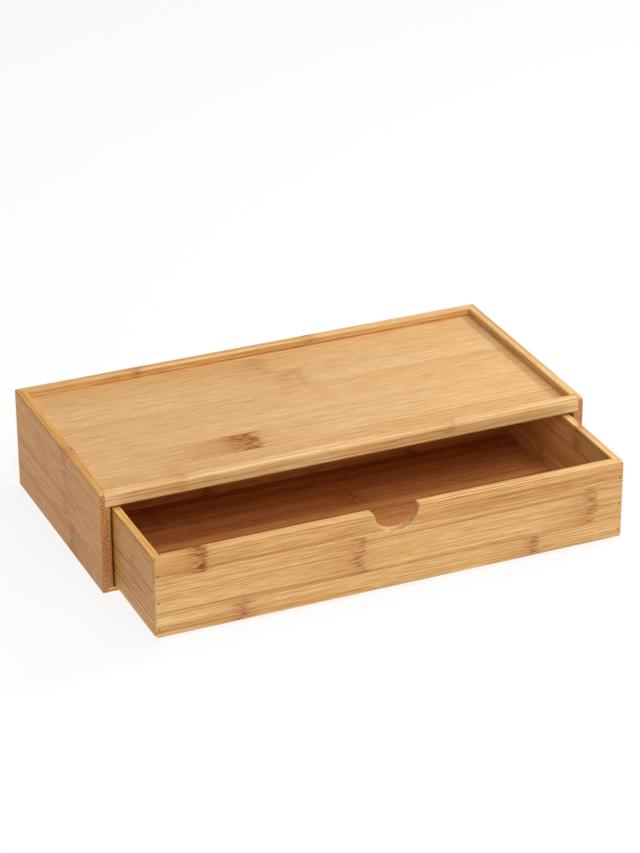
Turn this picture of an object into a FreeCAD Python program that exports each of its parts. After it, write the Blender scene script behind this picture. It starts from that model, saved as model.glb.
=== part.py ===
import FreeCAD, Part
import os

# Bamboo vanity organizer: a case with a sunken tray on top and one inset drawer below it.
# Millimetres, +Z up, +X to the right of a person who faces the drawer from the -Y side.
# The origin is the middle of the case's footprint, on the surface that it stands on.
# The drawer is drawn part way out, and slides shut until its front is flush with the case.

# Case
case_width = 300.0
case_depth = 146.0
case_height = 62.2
case_wall = 6.0             # sides, back and front rail
case_lap = 3.0              # depth of the grooves and rebates in the case boards
edge_ease = 0.8             # sanded arris of a board
joint_chamfer = 0.3         # broken edge that shows as a hairline at a flush joint
front_round = 2.5           # fuller round along the top of the front
rear_corner_round = 1.6     # fuller round down the two rear corners

# Front rail, tray and base
rail_height = 8.8
tray_recess = 4.8           # the rim stands this much above the tray
tray_thickness = 4.0
base_thickness = 3.0

# Drawer
drawer_open = 63.5          # distance from the closed place to the drawn one
drawer_end_wall = 6.0       # front and back boards
drawer_side_wall = 5.0
drawer_lip = 3.0            # part of an end board that covers the ends of the sides
drawer_corner_round = 2.0   # fuller round at the four corners of an end board
drawer_side_gap = 1.5       # running room beside the drawer, each side
drawer_top_gap = 1.6        # room under the rail
drawer_run_gap = 0.3        # room between the drawer and the base that it runs on
drawer_back_gap = 1.0       # room behind the closed drawer
floor_thickness = 3.0
floor_lift = 3.0            # the floor's underside above the drawer's lower edge
floor_groove = 2.0          # how far the floor goes into the boards around it

# Finger notch in the drawer front
notch_radius = 13.5
notch_offset = 0.6          # cut this much to the right of the middle
notch_left_ease = 3.0       # the left shoulder is sanded rounder than the right
notch_right_ease = 1.0

# Flat wire brads that pin the corners of the drawer and the base board
brad_gauge = 0.8            # thickness of the flattened wire
brad_head_width = 1.2
brad_head_depth = 0.5
brad_shank_width = 0.9
brad_length = 13.0
brad_point = 1.2            # length of the chisel point
brad_sink = 0.2             # heads are set this far below the surface
brad_room = 0.05            # room all round a brad in its hole
corner_brad_count = 3       # in each corner of the drawer
corner_brad_inset = 2.0     # from the outer face of the drawer side
corner_brad_low = 5.0       # lowest brad above the drawer's lower edge
corner_brad_high = 10.5     # highest brad below the drawer's upper edge
base_side_brad_count = 4
base_back_brad_count = 5
base_brad_margin = 22.0     # first and last brad from the corner of the case

# Places that the pieces share
half_width = case_width / 2
case_front = -case_depth / 2
case_back_face = case_depth / 2
bay_half_width = half_width - case_wall
bay_back = case_back_face - case_wall
rail_back = case_front + case_wall
rail_bottom = case_height - rail_height
tray_top = case_height - tray_recess
tray_bottom = tray_top - tray_thickness
groove_half_width = bay_half_width + case_lap
groove_back = bay_back + case_lap
groove_front = rail_back - case_lap

drawer_half_width = bay_half_width - drawer_side_gap
drawer_inner_half_width = drawer_half_width - drawer_side_wall
drawer_bottom = base_thickness + drawer_run_gap
drawer_top = min(rail_bottom, tray_bottom) - drawer_top_gap
drawer_length = case_depth - case_wall - drawer_back_gap
drawer_front_face = case_front - drawer_open
drawer_back_face = drawer_front_face + drawer_length
drawer_floor_bottom = drawer_bottom + floor_lift

touch = 0.01                # edges this close to a plane lie in it
reach = 1.0                 # cutting tools run this far past the faces they cut
up = FreeCAD.Vector(0, 0, 1)
sideways = FreeCAD.Vector(1, 0, 0)
backwards = FreeCAD.Vector(0, 1, 0)
hands = {"left": -1, "right": 1}


def block(x, y, z):
    """A square-edged blank between the two limits given on each axis."""
    corner = FreeCAD.Vector(x[0], y[0], z[0])
    return Part.makeBox(x[1] - x[0], y[1] - y[0], z[1] - z[0], corner)


def edges_in(shape, x=None, y=None, z=None):
    """The edges that lie wholly in every plane given."""
    found = []
    for edge in shape.Edges:
        box = edge.BoundBox
        spans = [(x, box.XMin, box.XMax), (y, box.YMin, box.YMax), (z, box.ZMin, box.ZMax)]
        planes = [span for span in spans if span[0] is not None]
        if all(abs(low - at) < touch and abs(high - at) < touch for at, low, high in planes):
            found.append(edge)
    return found


def eased(shape, radius, *edge_lists):
    """The shape with the listed edges rounded."""
    return shape.makeFillet(radius, [edge for edges in edge_lists for edge in edges])


def chamfered(shape, width, *edge_lists):
    """The shape with a small flat along the listed edges."""
    return shape.makeChamfer(width, [edge for edges in edge_lists for edge in edges])


def plan_board(corners):
    """A board of the case's full height, from its outline seen from above."""
    points = [FreeCAD.Vector(x, y, 0) for x, y in corners]
    outline = Part.makePolygon(points + points[:1])
    return Part.Face(outline).extrude(up * case_height)


def spread(first, last, count):
    """Evenly spaced places from the first to the last."""
    step = (last - first) / max(count - 1, 1)
    return [first + step * index for index in range(count)]


def brad_form(surface, along, across, start, room):
    """A brad's outline across the wire, given its thickness and driven in from the surface."""
    head = brad_head_width / 2 + room
    shank = brad_shank_width / 2 + room
    half_gauge = brad_gauge / 2 + room
    neck = brad_sink + brad_head_depth + room
    tip = brad_sink + brad_length + room
    edge = [(head, start), (head, neck), (shank, neck), (shank, tip - brad_point), (0, tip)]
    outline = edge + [(-width, depth) for width, depth in reversed(edge[:-1])]
    through = along.cross(across)
    corner = surface - through * half_gauge
    points = [corner + across * width + along * depth for width, depth in outline]
    return Part.Face(Part.makePolygon(points + points[:1])).extrude(through * (2 * half_gauge))


def brads(places, along, across):
    """A row of brads, sunk a little below the surface."""
    return Part.makeCompound([brad_form(place, along, across, brad_sink, 0) for place in places])


def drilled(board, places, along, across):
    """The board with an open hole for each brad of a row."""
    return board.cut([brad_form(place, along, across, 0, brad_room) for place in places])


def save(name, shape):
    """Write one named piece, or one group of like pieces."""
    os.makedirs("parts", exist_ok=True)
    shape.exportStep("parts/" + name + ".step")


# The outside of the case after sanding: every board of it is trimmed to this form.
# The last round runs on from the side edges along the back and down the front corners.
case_form = block((-half_width, half_width), (case_front, case_back_face), (0, case_height))
case_form = eased(
    case_form,
    rear_corner_round,
    edges_in(case_form, x=-half_width, y=case_back_face),
    edges_in(case_form, x=half_width, y=case_back_face),
)
case_form = eased(case_form, front_round, edges_in(case_form, y=case_front, z=case_height))
case_form = eased(
    case_form,
    edge_ease,
    edges_in(case_form, x=-half_width, z=case_height),
    edges_in(case_form, x=half_width, z=case_height),
    edges_in(case_form, z=0),
)

# Boards that are let into the others: as square blanks they also cut the grooves and rebates
groove_span = (-groove_half_width, groove_half_width)
tray_panel = block(groove_span, (groove_front, groove_back), (tray_bottom, tray_top))
base_blank = block(groove_span, (case_front, groove_back), (0, base_thickness))
rail_blank = block(groove_span, (case_front, rail_back), (rail_bottom, case_height))

# Brads of the base, driven up into the sides and the back through the middle of the laps
base_brad_line = bay_half_width + case_lap / 2
base_brad_back_line = bay_back + case_lap / 2
base_side_limit = case_back_face - base_brad_margin
base_back_limit = half_width - base_brad_margin
base_side_rows = spread(-base_side_limit, base_side_limit, base_side_brad_count)
base_back_rows = spread(-base_back_limit, base_back_limit, base_back_brad_count)
base_brad_places = {
    "left": [FreeCAD.Vector(-base_brad_line, y, 0) for y in base_side_rows],
    "right": [FreeCAD.Vector(base_brad_line, y, 0) for y in base_side_rows],
    "back": [FreeCAD.Vector(x, base_brad_back_line, 0) for x in base_back_rows],
}
base_brad_across = {"left": backwards, "right": backwards, "back": sideways}


def case_side(hand):
    """A side board: rebated for rail and base, grooved for the tray, mitred to the back."""
    outer = hand * half_width
    inner = hand * bay_half_width
    side = plan_board(
        [(outer, case_front), (inner, case_front), (inner, bay_back), (outer, case_back_face)]
    )
    side = side.common(case_form).cut([rail_blank, tray_panel, base_blank])
    return eased(side, edge_ease, edges_in(side, x=inner, z=case_height))


for side_name, hand in hands.items():
    side_board = drilled(case_side(hand), base_brad_places[side_name], up, backwards)
    save("case_side_" + side_name, side_board)

# Back board, with both ends mitred to the sides
case_back = plan_board(
    [
        (-half_width, case_back_face),
        (half_width, case_back_face),
        (bay_half_width, bay_back),
        (-bay_half_width, bay_back),
    ]
)
case_back = case_back.common(case_form).cut([tray_panel, base_blank])
case_back = eased(case_back, edge_ease, edges_in(case_back, y=bay_back, z=case_height))
save("case_back", drilled(case_back, base_brad_places["back"], up, sideways))

# Front rail, whose rebate at the back takes the front edge of the tray
front_rail = rail_blank.common(case_form)
front_rail = eased(
    front_rail,
    edge_ease,
    edges_in(front_rail, y=rail_back, z=case_height),
    edges_in(front_rail, y=case_front, z=rail_bottom),
)
front_rail = chamfered(
    front_rail,
    joint_chamfer,
    edges_in(front_rail, x=-groove_half_width),
    edges_in(front_rail, x=groove_half_width),
)
save("front_rail", front_rail.cut(tray_panel))
save("tray_panel", tray_panel)

base_board = base_blank.common(case_form)
for side_name, places in base_brad_places.items():
    across = base_brad_across[side_name]
    base_board = drilled(base_board, places, up, across)
    save("base_brads_" + side_name, brads(places, up, across))
save("base_board", base_board)

# Drawer floor, whose edges lie in grooves in the four boards around it
drawer_floor = block(
    (-drawer_inner_half_width - floor_groove, drawer_inner_half_width + floor_groove),
    (
        drawer_front_face + drawer_end_wall - floor_groove,
        drawer_back_face - drawer_end_wall + floor_groove,
    ),
    (drawer_floor_bottom, drawer_floor_bottom + floor_thickness),
)
save("drawer_floor", drawer_floor)

drawer_limits = (-drawer_half_width, drawer_half_width)
drawer_rise = (drawer_bottom, drawer_top)
corner_brad_line = drawer_half_width - corner_brad_inset
corner_rows = spread(drawer_bottom + corner_brad_low, drawer_top - corner_brad_high, corner_brad_count)


def corner_places(hand, end_face):
    """Where the brads of one drawer corner enter the face of its front or back board."""
    return [FreeCAD.Vector(hand * corner_brad_line, end_face, z) for z in corner_rows]


def notched(board, near, far):
    """A drawer front with the half-round finger notch and its two shoulders."""
    centre = FreeCAD.Vector(notch_offset, near - reach, drawer_top)
    cutter = Part.makeCylinder(notch_radius, far - near + 2 * reach, centre, backwards)
    board = board.cut(cutter)
    left = edges_in(board, x=notch_offset - notch_radius, z=drawer_top)
    board = eased(board, notch_left_ease, left)
    right = edges_in(board, x=notch_offset + notch_radius, z=drawer_top)
    return eased(board, notch_right_ease, right)


def drawer_end(face, inwards, has_notch):
    """A front or back board: rounded corners, sanded edges and a lip that covers each side's end."""
    inner = face + inwards * drawer_end_wall
    near, far = sorted((face, inner))
    board = block(drawer_limits, (near, far), drawer_rise)
    if has_notch:
        board = notched(board, near, far)
    corners = [edges_in(board, x=x, z=z) for x in drawer_limits for z in drawer_rise]
    board = eased(board, drawer_corner_round, *corners)
    board = eased(board, edge_ease, edges_in(board, y=near), edges_in(board, y=far))
    rebate = sorted((face + inwards * drawer_lip, inner + inwards * reach))
    rebate_rise = (drawer_bottom - reach, drawer_top + reach)
    for hand in hands.values():
        end = sorted((hand * drawer_inner_half_width, hand * (drawer_half_width + reach)))
        board = board.cut(block(end, rebate, rebate_rise))
        board = drilled(board, corner_places(hand, face), backwards * inwards, up)
    return board.cut(drawer_floor)


def drawer_side(hand):
    """A side board: long edges sanded, ends square in the rebates, a groove for the floor."""
    limits = sorted((hand * drawer_inner_half_width, hand * drawer_half_width))
    near = drawer_front_face + drawer_lip
    far = drawer_back_face - drawer_lip
    side = block(limits, (near, far), drawer_rise)
    long_edges = [edges_in(side, x=x, z=z) for x in limits for z in drawer_rise]
    side = eased(side, edge_ease, *long_edges)
    side = chamfered(side, joint_chamfer, edges_in(side, y=near), edges_in(side, y=far))
    side = drilled(side, corner_places(hand, drawer_front_face), backwards, up)
    side = drilled(side, corner_places(hand, drawer_back_face), -backwards, up)
    return side.cut(drawer_floor)


save("drawer_front", drawer_end(drawer_front_face, 1, True))
save("drawer_back", drawer_end(drawer_back_face, -1, False))
for side_name, hand in hands.items():
    save("drawer_side_" + side_name, drawer_side(hand))
    front_places = corner_places(hand, drawer_front_face)
    back_places = corner_places(hand, drawer_back_face)
    save("drawer_front_brads_" + side_name, brads(front_places, backwards, up))
    save("drawer_back_brads_" + side_name, brads(back_places, -backwards, up))
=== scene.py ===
# %% [markdown]
# # A bamboo vanity organizer
# The organizer is a low box of bamboo boards with a sunken tray on top and one drawer that slides out
# under it. Its boards, rebates, grooves and brads come from the CAD model at their real size, so this
# lesson leaves every shape as it is. The work here is what CAD doesn't hold: the camera, the studio, and
# above all the bamboo, which is built from strips, fibres, knuckles and lacquer, as a board maker does it.

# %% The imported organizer
import math
from collections import namedtuple

import bmesh
import bpy
from mathutils import Matrix, Vector


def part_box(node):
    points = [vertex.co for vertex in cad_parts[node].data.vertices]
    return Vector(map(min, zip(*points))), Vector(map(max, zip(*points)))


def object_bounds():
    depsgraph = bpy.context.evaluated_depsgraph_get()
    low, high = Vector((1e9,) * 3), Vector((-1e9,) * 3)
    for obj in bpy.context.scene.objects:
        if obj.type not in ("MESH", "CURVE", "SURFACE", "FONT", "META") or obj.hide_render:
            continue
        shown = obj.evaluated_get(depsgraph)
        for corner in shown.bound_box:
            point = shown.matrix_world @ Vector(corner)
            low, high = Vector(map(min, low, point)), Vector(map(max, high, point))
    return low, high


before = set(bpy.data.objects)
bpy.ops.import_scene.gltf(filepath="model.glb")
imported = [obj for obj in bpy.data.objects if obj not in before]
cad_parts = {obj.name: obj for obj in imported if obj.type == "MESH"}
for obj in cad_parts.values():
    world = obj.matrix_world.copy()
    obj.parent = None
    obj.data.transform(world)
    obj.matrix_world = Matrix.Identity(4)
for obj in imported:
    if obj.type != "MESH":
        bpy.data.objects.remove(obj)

MM = 0.001
cad_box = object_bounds()
print("CAD box in mm:", [[round(c / MM, 1) for c in corner] for corner in cad_box])

# %% [markdown]
# ## Camera
# The picture to match is a long-lens product shot, so the box's edges run almost parallel. A camera like
# that can be found by eye, but this one was solved from the box's corners: the place, the turn to the
# drawer's left, the dip towards the tray and a slight pan. Blender's sensor width belongs to the longer
# side of the picture, which is the upright one here, and that side turns the solved focal length from
# pixels into millimetres.

# %% Camera
PICTURE_HEIGHT_PX = 853
FOCAL_LENGTH_PX = 3047.8
CAMERA_PLACE = Vector((-629.2, -1475.6, 842.0)) * MM
CAMERA_TURN = math.radians(24.142)
CAMERA_DIP = math.radians(26.556)
CAMERA_PAN = math.radians(0.527)

camera = bpy.data.objects.new("camera", bpy.data.cameras.new("camera"))
bpy.context.scene.collection.objects.link(camera)
bpy.context.scene.camera = camera
camera.data.lens = FOCAL_LENGTH_PX * camera.data.sensor_width / PICTURE_HEIGHT_PX
camera.matrix_world = (
    Matrix.Translation(CAMERA_PLACE)
    @ Matrix.Rotation(-CAMERA_TURN, 4, "Z")
    @ Matrix.Rotation(math.pi / 2 - CAMERA_DIP, 4, "X")
    @ Matrix.Rotation(CAMERA_PAN, 4, "Y")
)
print("lens in mm:", round(camera.data.lens, 1))

# %% [markdown]
# ## Colours and nodes
# Colours are picked as sRGB hex values, the way a paint chip is read, but light adds up in linear values,
# so one function converts them. A second small function adds a shader node, sets its settings, and sets
# or links its inputs. Everything below is written with these two.

# %% Colours and nodes
WHITE = "#ffffff"
SRGB_KNEE, SRGB_SLOPE, SRGB_OFFSET, SRGB_POWER = 0.04045, 12.92, 0.055, 2.4


def linear(hex_colour):
    """An sRGB hex colour as linear red, green and blue, with full alpha."""
    channels = []
    for start in (1, 3, 5):
        share = int(hex_colour[start:start + 2], 16) / 255
        if share <= SRGB_KNEE:
            channels.append(share / SRGB_SLOPE)
        else:
            channels.append(((share + SRGB_OFFSET) / (1 + SRGB_OFFSET)) ** SRGB_POWER)
    return channels + [1.0]


def add(tree, kind, inputs=None, **settings):
    """Adds a node to a tree, with its settings, and sets or links each of its inputs."""
    node = tree.nodes.new("ShaderNode" + kind)
    for name, value in settings.items():
        setattr(node, name, value)
    for key, value in (inputs or {}).items():
        if isinstance(value, bpy.types.NodeSocket):
            tree.links.new(value, node.inputs[key])
        else:
            node.inputs[key].default_value = value
    return node


def new_material(name):
    """An empty material and its node tree."""
    material = bpy.data.materials.new(name)
    material.use_nodes = True
    material.node_tree.nodes.clear()
    return material, material.node_tree


print("white in linear values:", linear(WHITE))

# %% [markdown]
# ## Studio cove
# Small products are often shot on a lit white cove: a floor of white acrylic that curves up into a wall,
# so that no horizon shows and shadows nearly vanish. A plane would do for one camera, but this object is
# seen from all sides. So a profile of floor, curve and wall is spun once round the upright axis.

# %% Studio cove
COVE_FLOOR, COVE_CURVE, COVE_WALL = 3.2, 1.2, 0.6
FLOOR_RINGS = (0, 0.25, 1)
CURVE_STEPS, COVE_STEPS = 12, 96

mesh = bmesh.new()
profile = [Vector((COVE_FLOOR * share, 0, 0)) for share in FLOOR_RINGS]
for step in range(1, CURVE_STEPS + 1):
    angle = math.pi / 2 * step / CURVE_STEPS
    outward = COVE_FLOOR + COVE_CURVE * math.sin(angle)
    upward = COVE_CURVE * (1 - math.cos(angle))
    profile.append(Vector((outward, 0, upward)))
profile.append(profile[-1] + Vector((0, 0, COVE_WALL)))
points = [mesh.verts.new(point) for point in profile]
edges = [mesh.edges.new(pair) for pair in zip(points, points[1:])]
bmesh.ops.spin(mesh, geom=points + edges, axis=(0, 0, 1), cent=(0, 0, 0), angle=2 * math.pi,
               steps=COVE_STEPS, use_merge=True)
bmesh.ops.remove_doubles(mesh, verts=mesh.verts, dist=MM)
cove = bpy.data.objects.new("cove", bpy.data.meshes.new("cove"))
mesh.to_mesh(cove.data)
mesh.free()
bpy.context.scene.collection.objects.link(cove)
for face in cove.data.polygons:
    face.use_smooth = True
print("cove faces:", len(cove.data.polygons))

# %% [markdown]
# ## Lit acrylic
# The cove's acrylic is lit from behind, which fills the shaded sides of the box from below. Lamps under a
# real sheet would do it, and here the surface itself gives off light. It is strongest round the object and
# fades towards the wall, as the lamps stand under the floor only.

# %% Lit acrylic
ACRYLIC = "#606060"
ACRYLIC_ROUGHNESS = 0.9
GLOW_FULL = 1.2
ACRYLIC_GLOW, WALL_GLOW = 0.86, 0.70

# Matt and evenly bright: to the eye there is no floor, only white round the object
acrylic, tree = new_material("lit_white_acrylic")
from_middle = add(tree, "VectorMath", {0: add(tree, "TexCoord").outputs["Object"]}, operation="LENGTH")
glow = add(tree, "MapRange", {
    "Value": from_middle.outputs["Value"], "From Min": GLOW_FULL, "From Max": COVE_FLOOR,
    "To Min": ACRYLIC_GLOW, "To Max": WALL_GLOW}, interpolation_type="SMOOTHSTEP")
surface = add(tree, "BsdfPrincipled", {
    "Base Color": linear(ACRYLIC), "Roughness": ACRYLIC_ROUGHNESS, "Emission Color": linear(WHITE),
    "Emission Strength": glow.outputs[0]})
add(tree, "OutputMaterial", {"Surface": surface.outputs[0]})
cove.data.materials.append(acrylic)
print("glow near the object and at the wall:", ACRYLIC_GLOW, WALL_GLOW)

# %% [markdown]
# ## Lights
# An even white sky could light all this, but then no shape would have a shaded side, so three lamps are
# placed. Most of the light comes from a broad panel high in front, and falls through the open part of the
# drawer. It reaches no further in than that, and the inside of the case falls off to a deep orange brown,
# as light that gets there has bounced off bamboo two or three times. The drawer's floor and sides add
# painted shade to this through their canes and strip tones. A weaker panel high on the right makes the tray
# brighter at that end. One small warm softbox stands there too, about 34 degrees up. It gives the shapes an
# edge: a narrow strip of shade beside the tray's right rim.

# %% Lights
ROOM_LIGHT = 0.15


def softbox(name, turn, rise, distance, size, power, tint):
    """A square area light, aimed at the tray from a turn to the right of front and a rise above level."""
    light = bpy.data.objects.new(name, bpy.data.lights.new(name, "AREA"))
    turn, rise = math.radians(turn), math.radians(rise)
    away = Vector((math.sin(turn) * math.cos(rise), -math.cos(turn) * math.cos(rise), math.sin(rise)))
    light.location = Vector((0, 0, cad_box[1].z)) + away * distance
    light.rotation_euler = away.to_track_quat("Z", "Y").to_euler()
    light.data.size = size
    light.data.energy = power
    light.data.color = linear(tint)[:3]
    light.visible_camera = False
    bpy.context.scene.collection.objects.link(light)
    print(name, "at", [round(c, 2) for c in light.location])


softbox("key_softbox", turn=97, rise=34, distance=1.3, size=0.22, power=8.5, tint="#fff8ee")
softbox("front_panel", turn=2, rise=51, distance=1.3, size=0.9, power=11, tint=WHITE)
softbox("overhead_panel", turn=85, rise=62, distance=1.0, size=0.6, power=2.6, tint=WHITE)

world = bpy.data.worlds.new("dim_room")
bpy.context.scene.world = world
world.use_nodes = True
world.node_tree.nodes["Background"].inputs["Color"].default_value = linear(WHITE)
world.node_tree.nodes["Background"].inputs["Strength"].default_value = ROOM_LIGHT
bpy.context.scene.view_settings.view_transform = "Standard"

# %% [markdown]
# ## A board's own directions
# Bamboo looks different along, across and through the grain, so each board needs its own three
# directions. The model's coordinates could be used as they are, but a pattern is easier to size in
# millimetres that start at the board's corner. A Mapping node does that, and it also moves each board to
# another place in the pattern, so that no two boards share their fibres.

# %% A board's own directions
# Painted highlight: how much paler the faces along a strip's long edges are, the tops among them
PAINTED_EDGE_HIGHLIGHT = 0.10
Board = namedtuple("Board", "along across through cut_from cane figure knuckle sawn strips edge",
                   defaults=(PAINTED_EDGE_HIGHLIGHT,))
Strip = namedtuple("Strip", "starts tone knuckles depth", defaults=((), 0.0))


def board_directions(tree, name, plan):
    """Millimetres along, across and through the grain, and how squarely a face cuts the first two."""
    low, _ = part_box(name)
    start = [-corner / MM for corner in low]
    start["XYZ".index(plan.through)] += plan.cut_from
    coordinates = add(tree, "TexCoord")
    millimetres = add(tree, "Mapping", {
        "Vector": coordinates.outputs["Object"], "Location": start, "Scale": [1 / MM] * 3})
    place = add(tree, "SeparateXYZ", {0: millimetres.outputs[0]})
    facing = add(tree, "SeparateXYZ", {0: coordinates.outputs["Normal"]})
    cut = [add(tree, "Math", {0: facing.outputs[axis]}, operation="ABSOLUTE").outputs[0]
           for axis in (plan.along, plan.across)]
    return [place.outputs[axis] for axis in (plan.along, plan.across, plan.through)] + cut


print("a board has", Board._fields, "and is glued from strips with", Strip._fields)

# %% [markdown]
# ## Strips
# A board is glued up from strips about 20 mm wide, split from the cane and planed flat. Each strip has its
# own tone, and now and then a knuckle crosses it, where the cane had a joint. The strips could be pieces
# of their own, but the glued face is planed as one, so they need only differ in colour. One colour ramp
# with steps can hold this whole cutting list: it is read across the board, and its red and blue say
# where the two knuckles lie, its green the tone and its alpha how dark the knuckles are. A second ramp
# draws the glue lines, thin peaks where two strips meet.

# %% Strips
GLUE_LINE = 0.35
NO_GLUE, FULL_GLUE = (0, 0, 0, 1), (1, 1, 1, 1)


def fill_ramp(node, stops):
    """Gives a colour ramp its stops, each a position and a colour."""
    elements = node.color_ramp.elements
    while len(elements) < len(stops):
        elements.new(1)
    while len(elements) > len(stops):
        elements.remove(elements[-1])
    for element, (position, colour) in zip(elements, stops):
        element.position = position
        element.color = colour


def cutting_list(name, plan):
    """The board's length and width, and the stops of its two ramps: the strips and the glue lines."""
    low, high = (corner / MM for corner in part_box(name))
    axis_along, axis_across = "XYZ".index(plan.along), "XYZ".index(plan.across)
    length, width = (high - low)[axis_along], (high - low)[axis_across]
    line = GLUE_LINE / width
    cuts, peaks = [], [(0, NO_GLUE)]
    for strip in plan.strips:
        edge = (strip.starts - low[axis_across]) / width
        places = [(mm - low[axis_along]) / length for mm in strip.knuckles] or [0]
        cuts.append((edge, (places[0], strip.tone, places[-1], strip.depth)))
        if strip is not plan.strips[0]:
            peaks += [(edge - line, NO_GLUE), (edge, FULL_GLUE), (edge + line, NO_GLUE)]
    return length, width, cuts, peaks


print("glue lines are drawn", 2 * GLUE_LINE, "mm wide at their foot")

# %% [markdown]
# ## Reading the cutting list
# The ramps are read at the point's share of the board's width. The knuckle that lies nearer then counts:
# both distances along the grain are worked out, and the smaller one is passed on, with its sign, because
# a knuckle's two sides look different.

# %% Reading the cutting list
def strip_plan(tree, name, plan, along, across):
    """The strip's tone, the way from its nearest knuckle, that knuckle's depth, and the glue."""
    length, width, cuts, peaks = cutting_list(name, plan)
    share = add(tree, "Math", {0: across, 1: width}, operation="DIVIDE").outputs[0]
    strips = add(tree, "ValToRGB", {0: share})
    strips.color_ramp.interpolation = "CONSTANT"
    fill_ramp(strips, cuts)
    glue = add(tree, "ValToRGB", {0: share})
    fill_ramp(glue, peaks)
    listed = add(tree, "SeparateColor", {0: strips.outputs["Color"]})
    reach = add(tree, "Math", {0: along, 1: length}, operation="DIVIDE").outputs[0]
    from_first = add(tree, "Math", {0: reach, 1: listed.outputs["Red"]}, operation="SUBTRACT").outputs[0]
    from_last = add(tree, "Math", {0: reach, 1: listed.outputs["Blue"]}, operation="SUBTRACT").outputs[0]
    far_first = add(tree, "Math", {0: from_first}, operation="ABSOLUTE").outputs[0]
    far_last = add(tree, "Math", {0: from_last}, operation="ABSOLUTE").outputs[0]
    last_is_near = add(tree, "Math", {0: far_last, 1: far_first}, operation="LESS_THAN").outputs[0]
    nearest = add(tree, "Mix", {"Factor": last_is_near, "A": from_first, "B": from_last}).outputs[0]
    distance = add(tree, "Math", {0: nearest, 1: length}, operation="MULTIPLY").outputs[0]
    return listed.outputs["Green"], distance, strips.outputs["Alpha"], glue.outputs["Color"]


print("a strip can name two knuckles")

# %% [markdown]
# ## Fibres
# Bamboo has no year rings. Its figure comes from bundles of fibre that run the length of the cane, so the
# pattern is a solid noise, long along the grain and narrow across it: a face shows streaks and an end
# shows dots, with no seam between them. Four sizes are needed: soft bands some millimetres wide, streaks
# near one millimetre, short dashes where a bundle dips in and out of the face, and a few dark hairlines.
# Real fibres are thinner still, but they are drawn as coarse as the picture can show. Each strip reads
# another part of the noise, so streaks stop at a glue line, and beside a knuckle they swell round it.

# %% Fibres
WANDER_LENGTH, WANDER_WIDTH, WANDER = 160, 14, 0.4
SWELL, SWELL_REACH = 1.0, 10
BANDS = (160, 6.0)
STREAKS = (420, 0.5)
DASHES = (14, 0.55)
HAIRS = (260, 0.9)
HAIR_RANGE = (0.61, 0.68)
STRIP_JUMP = 700
NOISE_ROUGHNESS = 0.6


def fibre_noise(tree, place, length, width, detail=2):
    """Noise that is as long and as wide as one kind of fibre, in millimetres."""
    size = (1 / length, 1 / width, 1 / width)
    stretched = add(tree, "VectorMath", {0: place, 1: size}, operation="MULTIPLY").outputs[0]
    return add(tree, "TexNoise", {
        "Vector": stretched, "Scale": 1, "Detail": detail, "Roughness": NOISE_ROUGHNESS})


def fibres(tree, along, across, through, tone, distance, depth):
    """The wandering place in the cane, then the soft bands, the streaks, the dashes and the hairlines."""
    through = add(tree, "Math", {0: tone, 1: STRIP_JUMP, 2: through}, operation="MULTIPLY_ADD").outputs[0]
    straight = add(tree, "CombineXYZ", {0: along, 1: across, 2: through}).outputs[0]
    drift = fibre_noise(tree, straight, WANDER_LENGTH, WANDER_WIDTH, detail=1).outputs["Color"]
    far = add(tree, "Math", {0: distance}, operation="ABSOLUTE").outputs[0]
    near = add(tree, "MapRange", {
        "Value": far, "From Min": SWELL_REACH, "From Max": 0, "To Max": SWELL},
        interpolation_type="SMOOTHSTEP").outputs[0]
    bend = add(tree, "Math", {0: near, 1: depth, 2: WANDER}, operation="MULTIPLY_ADD").outputs[0]
    aside = add(tree, "CombineXYZ", {1: bend, 2: bend}).outputs[0]
    place = add(tree, "VectorMath", {0: drift, 1: aside, 2: straight}, operation="MULTIPLY_ADD").outputs[0]
    bands = fibre_noise(tree, place, *BANDS).outputs["Fac"]
    streaks = fibre_noise(tree, place, *STREAKS).outputs["Fac"]
    dashes = fibre_noise(tree, place, *DASHES).outputs["Fac"]
    hairs = fibre_noise(tree, place, *HAIRS, detail=1).outputs["Fac"]
    hairlines = add(tree, "MapRange", {
        "Value": hairs, "From Min": HAIR_RANGE[0], "From Max": HAIR_RANGE[1]}).outputs[0]
    return place, bands, streaks, dashes, hairlines


print("fibres in mm along and across the grain:", BANDS, STREAKS, DASHES, HAIRS)

# %% [markdown]
# ## Knuckles
# Where the cane had a joint, the fibres cross and tangle, and the planed strip shows a brown stain. It
# fades along the fibres on one side and stops short on the other. In its middle the cut ends of crossing
# fibres show as dark specks and pale ticks. A planed strip is flat there, so this is colour and no relief.
# The distance from the knuckle is made ragged with noise, one ramp turns it into the lopsided stain, and
# a second noise, cut by a ramp with alpha, scatters the specks and ticks in a narrow column. Distances
# count in knuckle sizes here, as a broad cane has longer knuckles.

# %% Knuckles
STAIN_REACH = 4
STAIN = (
    (-4.0, 0), (-2.0, 0.24), (-0.9, 0.46), (-0.35, 0.74), (0, 0.92), (0.3, 0.80), (0.45, 0.22), (2.5, 0))
STAIN_COLOUR = "#b0681e"
RAGGED_SIZE, RAGGED = (60, 3.0), 0.7
NOISE_MIDDLE = 0.5
TANGLE_SIZE = (5.5, 0.75)
TANGLE_COLUMN = (0.70, 0.10)
TANGLE = ((0.36, "#6b3204", 1), (0.47, "#8a4a0a", 0), (0.58, "#e2bb80", 0), (0.70, "#ecd0a0", 0.3))


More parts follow.
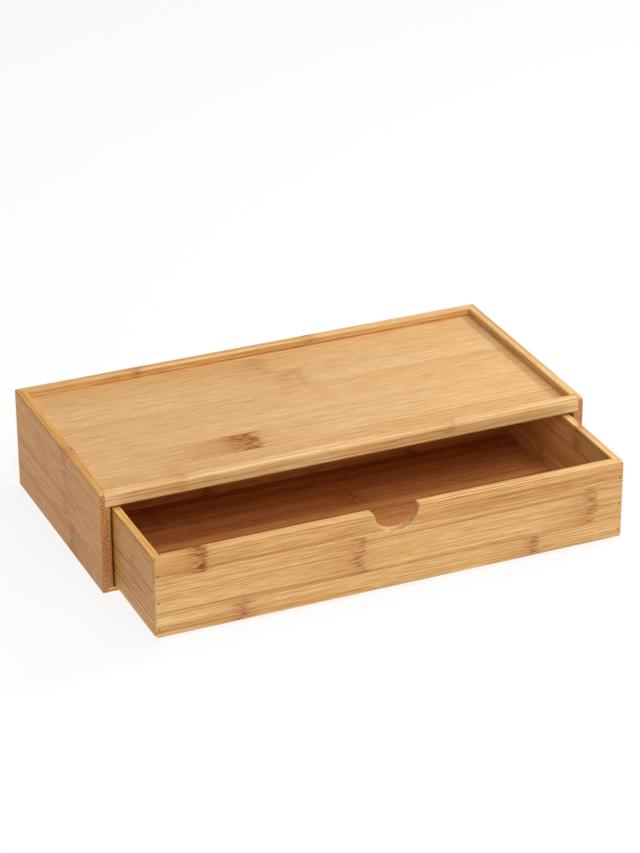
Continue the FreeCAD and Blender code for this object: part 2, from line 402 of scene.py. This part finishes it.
def knuckles(tree, place, distance, depth, size):
    """How far the stain shows here, how far the tangle does, and the tangle's colour."""
    sizes_away = add(tree, "Math", {0: distance, 1: size}, operation="DIVIDE").outputs[0]
    rag = fibre_noise(tree, place, *RAGGED_SIZE).outputs["Fac"]
    rag = add(tree, "Math", {0: rag, 1: NOISE_MIDDLE}, operation="SUBTRACT").outputs[0]
    offset = add(tree, "Math", {0: rag, 1: RAGGED, 2: sizes_away}, operation="MULTIPLY_ADD").outputs[0]
    reach = add(tree, "MapRange", {
        "Value": offset, "From Min": -STAIN_REACH, "From Max": STAIN_REACH}).outputs[0]
    shape = add(tree, "ValToRGB", {0: reach})
    fill_ramp(shape, [((away + STAIN_REACH) / (2 * STAIN_REACH), [height] * 3 + [1])
                      for away, height in STAIN])
    stain = add(tree, "Math", {0: shape.outputs["Color"], 1: depth}, operation="MULTIPLY").outputs[0]
    far = add(tree, "Math", {0: offset}, operation="ABSOLUTE").outputs[0]
    column = add(tree, "MapRange", {
        "Value": far, "From Min": TANGLE_COLUMN[0], "From Max": TANGLE_COLUMN[1]}).outputs[0]
    specks = add(tree, "ValToRGB", {0: fibre_noise(tree, place, *TANGLE_SIZE, detail=0).outputs["Fac"]})
    fill_ramp(specks, [(position, linear(colour)[:3] + [alpha]) for position, colour, alpha in TANGLE])
    tangle = add(tree, "Math", {0: column, 1: specks.outputs["Alpha"]}, operation="MULTIPLY").outputs[0]
    tangle = add(tree, "Math", {0: tangle, 1: depth}, operation="MULTIPLY").outputs[0]
    return stain, tangle, specks.outputs["Color"]


print("a stain starts", STAIN_REACH, "knuckle sizes before the knuckle and is darkest at it")

# %% [markdown]
# ## End grain
# A sawn end shows the fibre bundles as dark dots on a lighter ground, and it drinks more lacquer, so it
# turns darker and redder than a face. A Voronoi texture read across the grain gives one dot to each bundle.
# The real ones are about half a millimetre apart, and here twice that, so that they show. The face's own
# direction decides where this replaces the streaks: only where it cuts the grain squarely.

# %% End grain
BUNDLE_SPACING = 1.1
BUNDLES = ((0.15, "#8a5128"), (0.50, "#c4894f"))
SAWN_FROM, SAWN_TO = 0.55, 0.9


def end_grain(tree, across, through, end_cut, share):
    """How far a face counts as a sawn end, and the dotted colour of one."""
    sawn = add(tree, "MapRange", {
        "Value": end_cut, "From Min": SAWN_FROM, "From Max": SAWN_TO, "To Max": share}).outputs[0]
    section = add(tree, "CombineXYZ", {0: across, 1: through}).outputs[0]
    bundle = add(tree, "TexVoronoi", {"Vector": section, "Scale": 1 / BUNDLE_SPACING},
                 voronoi_dimensions="2D")
    dots = add(tree, "ValToRGB", {0: bundle.outputs["Distance"]})
    fill_ramp(dots, [(position, linear(colour)) for position, colour in BUNDLES])
    return sawn, dots.outputs["Color"]


print("fibre bundles are drawn", BUNDLE_SPACING, "mm apart")

# %% [markdown]
# ## Cane colours
# Bamboo is steamed in batches, and the longer it steams, the browner it turns. The organizer's boards use
# four ramps: a honey one for most of the box, a pale one for the tray, a caramel one for the left sides and
# the drawer's back, and a russet one for the drawer's floor. On the left sides the caramel is painted
# shade, a darker and warmer cane for the sides that face away from the lamps. The redder russet is painted
# shade for the inside of the drawer. Each ramp runs from its dark fibres to the soft, pale tissue between
# them. The strip's tone, the noises and a painted highlight add up to one level, which is looked up in that
# ramp. That painted highlight makes the faces along a strip's long edges, the tops among them, a little
# paler, as if they caught more light.

# %% Cane colours
HONEY = ((0.20, "#984e10"), (0.50, "#ce9852"), (0.80, "#ebca93"))
PALE = ((0.20, "#a9682d"), (0.50, "#d6a76d"), (0.80, "#f0d6a9"))
CARAMEL = ((0.20, "#8c460c"), (0.50, "#d29449"), (0.80, "#ebc078"))
# Painted shade: a redder, darker cane for the drawer's floor, for the deep brown of its shaded inside
PAINTED_SHADE_CANE = ((0.20, "#8c4110"), (0.50, "#d28b4b"), (0.80, "#ebb47a"))
BAND_SHARE, STREAK_SHARE, DASH_SHARE, TONE_SHARE = 0.25, 0.8, 0.60, 0.60
RAMP_MIDDLE = 0.5


def cane_ground(tree, plan, tone, bands, streaks, dashes, highlight_facing):
    """The colour of the cane under its hairlines, glue and knuckles."""
    all_shares = TONE_SHARE + plan.figure * (BAND_SHARE + STREAK_SHARE) + DASH_SHARE
    level = RAMP_MIDDLE - all_shares / 2
    # The last layer is a painted highlight: faces along a strip's long edges, the tops among them, turn
    # paler
    for layer, share in ((tone, TONE_SHARE), (bands, plan.figure * BAND_SHARE),
                         (streaks, plan.figure * STREAK_SHARE), (dashes, DASH_SHARE),
                         (highlight_facing, plan.edge)):
        level = add(tree, "Math", {0: layer, 1: share, 2: level}, operation="MULTIPLY_ADD").outputs[0]
    ground = add(tree, "ValToRGB", {0: level})
    fill_ramp(ground, [(position, linear(colour)) for position, colour in plan.cane])
    return ground.outputs["Color"]


print("honey bamboo runs from", HONEY[0][1], "to", HONEY[-1][1])

# %% [markdown]
# ## Lacquered bamboo
# Now the layers come together as they do on the board: the cane gives the ground, hairlines and glue
# darken it, knuckles lie over it, and ends replace it. A calm board has weak bands, streaks and hairlines,
# and only its short dashes stay. Over all lies a thin satin lacquer. Its index of about 1.5 is that of
# most clear coats. A plain roughness would look like plastic, so it follows the fibres: the coat lies
# thinner and rougher on them than on the soft tissue between. The same streaks drive a very shallow bump.

# %% Lacquered bamboo
HAIRLINE, GLUE = "#8f4a08", "#a5641f"
HAIR_SHARE, GLUE_SHARE = 0.65, 0.35
LACQUER_IOR = 1.5
STREAK_RANGE = (0.3, 0.7)
FIBRE_ROUGHNESS, TISSUE_ROUGHNESS = 0.62, 0.50
FIBRE_RELIEF, RELIEF_STRENGTH = 0.04 * MM, 0.5


def lacquered_bamboo(name, plan):
    """A board of glued bamboo strips under satin lacquer, with its own grain."""
    # Warm streaks with brown knuckles under a soft sheen: the eye sees planed bamboo, smooth but not glossy
    material, tree = new_material("satin_lacquered_bamboo_" + name)
    along, across, through, end_cut, highlight_facing = board_directions(tree, name, plan)
    tone, distance, depth, glue = strip_plan(tree, name, plan, along, across)
    place, bands, streaks, dashes, hairlines = fibres(tree, along, across, through, tone, distance, depth)
    stain, tangle, tangle_colour = knuckles(tree, place, distance, depth, plan.knuckle)
    sawn, ends = end_grain(tree, across, through, end_cut, plan.sawn)
    colour = cane_ground(tree, plan, tone, bands, streaks, dashes, highlight_facing)
    hair = add(tree, "Math", {0: hairlines, 1: HAIR_SHARE * plan.figure}, operation="MULTIPLY").outputs[0]
    line = add(tree, "Math", {0: glue, 1: GLUE_SHARE}, operation="MULTIPLY").outputs[0]
    for share, over in ((hair, linear(HAIRLINE)), (stain, linear(STAIN_COLOUR)), (tangle, tangle_colour),
                        (sawn, ends), (line, linear(GLUE))):
        # A Mix node keeps its colours in inputs 6 and 7 and in output 2
        colour = add(tree, "Mix", {0: share, 6: colour, 7: over}, data_type="RGBA").outputs[2]
    roughness = add(tree, "MapRange", {
        "Value": streaks, "From Min": STREAK_RANGE[0], "From Max": STREAK_RANGE[1],
        "To Min": FIBRE_ROUGHNESS, "To Max": TISSUE_ROUGHNESS}).outputs[0]
    bump = add(tree, "Bump", {"Height": streaks, "Strength": RELIEF_STRENGTH, "Distance": FIBRE_RELIEF})
    surface = add(tree, "BsdfPrincipled", {
        "Base Color": colour, "Roughness": roughness, "IOR": LACQUER_IOR, "Normal": bump.outputs[0]})
    add(tree, "OutputMaterial", {"Surface": surface.outputs[0]})
    return material


print("lacquer over bamboo, index", LACQUER_IOR)

# %% [markdown]
# ## The boards
# Each board gets its cutting list: the axes along, across and through its grain, where in the pattern it is
# cut from, its batch of cane, how strong its figure is, the size of its knuckles in millimetres, and how
# dark its sawn ends are. Then come its strips, each with the place where it starts, its tone, the places of
# its knuckles and their depth. Places are in the model's millimetres. The rail alone says how strong the
# painted highlight on its long edges is, because its rounded top is nearly as brown as its face. The boards
# that show in the picture follow it. The hidden ones have knuckles where such strips would have them, some
# 200 mm apart along the cane.

# %% The boards
BOARDS = {
    "drawer_front": Board(
        "X", "Z", "Y", cut_from=40, cane=HONEY, figure=1.0, knuckle=9, sawn=0.4, strips=(
            Strip(3.3, 0.60, (-91, 86), 0.62), Strip(16, 0.59, (-22, 122), 0.6),
            Strip(38.5, 0.46, (-116,), 1.0))),
    "drawer_back": Board(
        "X", "Z", "Y", cut_from=90, cane=CARAMEL, figure=1.0, knuckle=9, sawn=0.6, strips=(
            Strip(3.3, 0.45, (-60, 70), 0.6), Strip(22, 0.55, (12,), 0.6),
            Strip(40, 0.5, (-104, 101), 0.6))),
    # Painted shade: the caramel cane and its low tones stand for the shade on the drawer's left side
    "drawer_side_left": Board(
        "Y", "Z", "X", cut_from=140, cane=CARAMEL, figure=1.2, knuckle=9, sawn=0.6, strips=(
            Strip(3.3, 0.5), Strip(19, 0.46, (-102,), 0.4), Strip(39, 0.5, (-31,), 0.5))),
    # Painted light: honey cane and high tones make the shaded inner face of this side brighter
    "drawer_side_right": Board(
        "Y", "Z", "X", cut_from=190, cane=HONEY, figure=1.0, knuckle=9, sawn=0.6, strips=(
            Strip(3.3, 0.64, (-44,), 0.5), Strip(20, 0.58), Strip(37, 0.62, (-88,), 0.5))),
    # Painted shade: the strip tones fall from 0.9 at the front to 0.3 at the back, where the case shades
    # the floor
    "drawer_floor": Board(
        "X", "Y", "Z", cut_from=240, cane=PAINTED_SHADE_CANE, figure=1.2, knuckle=14, sawn=0.6, strips=(
            Strip(-132.5, 0.9, (-70,), 0.5), Strip(-112, 0.68, (61,), 0.5), Strip(-91, 0.54, (-20,), 0.4),
            Strip(-70, 0.44), Strip(-50, 0.38, (16,), 0.8), Strip(-29, 0.3, (-96, 110), 0.5))),
    # Painted shade: a darker, warmer caramel cane with low tones for the side that faces away from the
    # lamps
    "case_side_left": Board(
        "Y", "Z", "X", cut_from=290, cane=CARAMEL, figure=0.6, knuckle=9, sawn=1, strips=(
            Strip(0, 0.40, (-23,), 0.7), Strip(20, 0.46, (-14,), 0.5), Strip(41.5, 0.46, (-13,), 0.4))),
    "case_side_right": Board(
        "Y", "Z", "X", cut_from=340, cane=HONEY, figure=0.8, knuckle=9, sawn=1, strips=(
            Strip(0, 0.5, (31,), 0.6), Strip(21, 0.44, (-40,), 0.6), Strip(42, 0.55))),
    "case_back": Board(
        "X", "Z", "Y", cut_from=390, cane=HONEY, figure=1.0, knuckle=9, sawn=0.8, strips=(
            Strip(0, 0.5, (-120, 96), 0.6), Strip(20, 0.5, (10,), 0.6),
            Strip(40.5, 0.58, (-75, 36), 0.35))),
    "front_rail": Board(
        "X", "Z", "Y", cut_from=467, cane=HONEY, figure=0.9, knuckle=9, sawn=0.8, edge=0.04, strips=(
            Strip(53.4, 0.73, (-101, 64), 0.3),)),
    "tray_panel": Board(
        "X", "Y", "Z", cut_from=490, cane=PALE, figure=0.36, knuckle=20, sawn=0.6, strips=(
            Strip(-70, 0.46), Strip(-47.5, 0.55, (-47,), 1.0), Strip(-26.5, 0.54), Strip(-6, 0.50),
            Strip(17.5, 0.56, (10,), 0.3), Strip(40.5, 0.5, (-5,), 0.3), Strip(63, 0.44))),
    "base_board": Board(
        "X", "Y", "Z", cut_from=540, cane=HONEY, figure=1.0, knuckle=12, sawn=0.8, strips=(
            Strip(-73, 0.5, (-88, 118), 0.6), Strip(-52, 0.44, (27,), 0.6),
            Strip(-31, 0.55, (-130, 71), 0.6), Strip(-10, 0.48, (-36,), 0.6),
            Strip(11, 0.52, (104,), 0.6), Strip(32, 0.45, (-71, 133), 0.6), Strip(53, 0.5, (6,), 0.6))),
}
for name, plan in BOARDS.items():
    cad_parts[name].material_slots[0].material = lacquered_bamboo(name, plan)
    print(name, "runs along", plan.along, "in", len(plan.strips), "strips")

# %% [markdown]
# ## Brads
# The corners and the base are pinned with brads of flat wire, driven just below the face, so each shows
# only as a dark dot. Drawn steel wire that has lain in a workshop is dull and a little browned. It could
# have one plain brown, but noise the size of a grain of dust breaks up both its colour and its shine, and
# so the dots don't look painted on.

# %% Brads
GRIME_SIZE = 0.25 * MM
GRIME_RANGE = (0.35, 0.65)
BROWNED, BARE = "#6a4a2c", "#9c8062"
BROWNED_ROUGHNESS, BARE_ROUGHNESS = 0.7, 0.45


def dull_wire():
    """Drawn steel wire, dulled and faintly browned."""
    # A brown-grey metal without a glint, which shows as a dark dot from a step away
    material, tree = new_material("dull_drawn_steel_wire")
    coordinates = add(tree, "TexCoord")
    grime = add(tree, "TexNoise", {
        "Vector": coordinates.outputs["Object"], "Scale": 1 / GRIME_SIZE, "Detail": 2}).outputs["Fac"]
    colour = add(tree, "ValToRGB", {0: grime})
    fill_ramp(colour, [(GRIME_RANGE[0], linear(BROWNED)), (GRIME_RANGE[1], linear(BARE))])
    roughness = add(tree, "MapRange", {
        "Value": grime, "From Min": GRIME_RANGE[0], "From Max": GRIME_RANGE[1],
        "To Min": BROWNED_ROUGHNESS, "To Max": BARE_ROUGHNESS}).outputs[0]
    surface = add(tree, "BsdfPrincipled", {
        "Base Color": colour.outputs["Color"], "Metallic": 1, "Roughness": roughness})
    add(tree, "OutputMaterial", {"Surface": surface.outputs[0]})
    return material


wire = dull_wire()
brads = [node for name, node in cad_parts.items() if "brads" in name]
for node in brads:
    node.material_slots[0].material = wire
print("brad groups:", len(brads))
